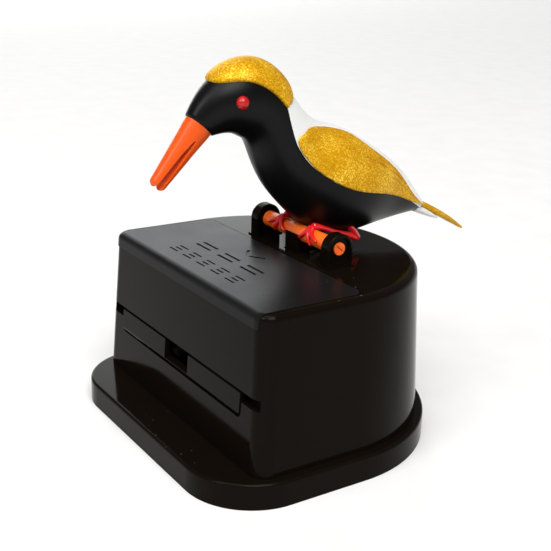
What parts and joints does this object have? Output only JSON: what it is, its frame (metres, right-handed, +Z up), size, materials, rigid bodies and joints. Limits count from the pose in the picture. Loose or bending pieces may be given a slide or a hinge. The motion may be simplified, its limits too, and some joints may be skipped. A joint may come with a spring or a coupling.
{
  "type": "toothpick dispenser",
  "caption": "Desk toothpick dispenser: a bird on a sprung perch bows so that its split beak reaches the notch of the box's front slot.",
  "frame": {"origin": "centre of the bottom cover's flat underside, on the table, in the plane of symmetry", "axes": "+X to the right seen from the front, +Y from the slot at the front to the tail at the back, +Z up"},
  "size_m": [0.085, 0.1043, 0.0952],
  "materials": {
    "gloss_black": "glossy moulded plastic",
    "panel_black": "satin moulded plastic",
    "inner_black": "plain moulded plastic",
    "satin_black": "satin moulded plastic",
    "white": "satin white plastic",
    "gold": "gold glitter paint on plastic",
    "orange": "glossy orange plastic",
    "red": "glossy red plastic",
    "steel": "plain steel"
  },
  "bodies": {
    "bird": {"perch_tube": "orange", "perch_pin_right": "orange", "perch_pin_left": "orange", "lever_arm": "gloss_black", "bird_body": "satin_black", "back_shell": "white", "crest": "gold", "wing_right": "gold", "wing_left": "gold", "eye_right": "red", "eye_left": "red", "beak": "orange", "leg_right": "red", "leg_left": "red", "tail_root": "white", "tail_feather": "gold"},
    "gate": {"pick_gate": "gloss_black"},
    "box": {"box_shell": "gloss_black", "base_plate": "gloss_black", "bottom_cover": "inner_black", "base_screws": "steel", "refill_panel": "panel_black", "magazine": "inner_black", "return_spring": "steel"}
  },
  "joints": [
    {"name": "bird_bow", "type": "hinge", "parent": "box", "child": "bird", "pos_m": [0, 0.0078, 0.0494], "axis": [1, 0, 0], "range_deg": [0, 54], "stiffness_Nm_per_rad": 0.004, "springref_deg": -34.38, "deforming": ["return_spring"]},
    {"name": "gate_flap", "type": "hinge", "parent": "box", "child": "gate", "pos_m": [0, -0.02741, 0.01945], "axis": [1, 0, 0], "range_deg": [0, 18], "stiffness_Nm_per_rad": 0.002, "springref_deg": -11.46}
  ]
}
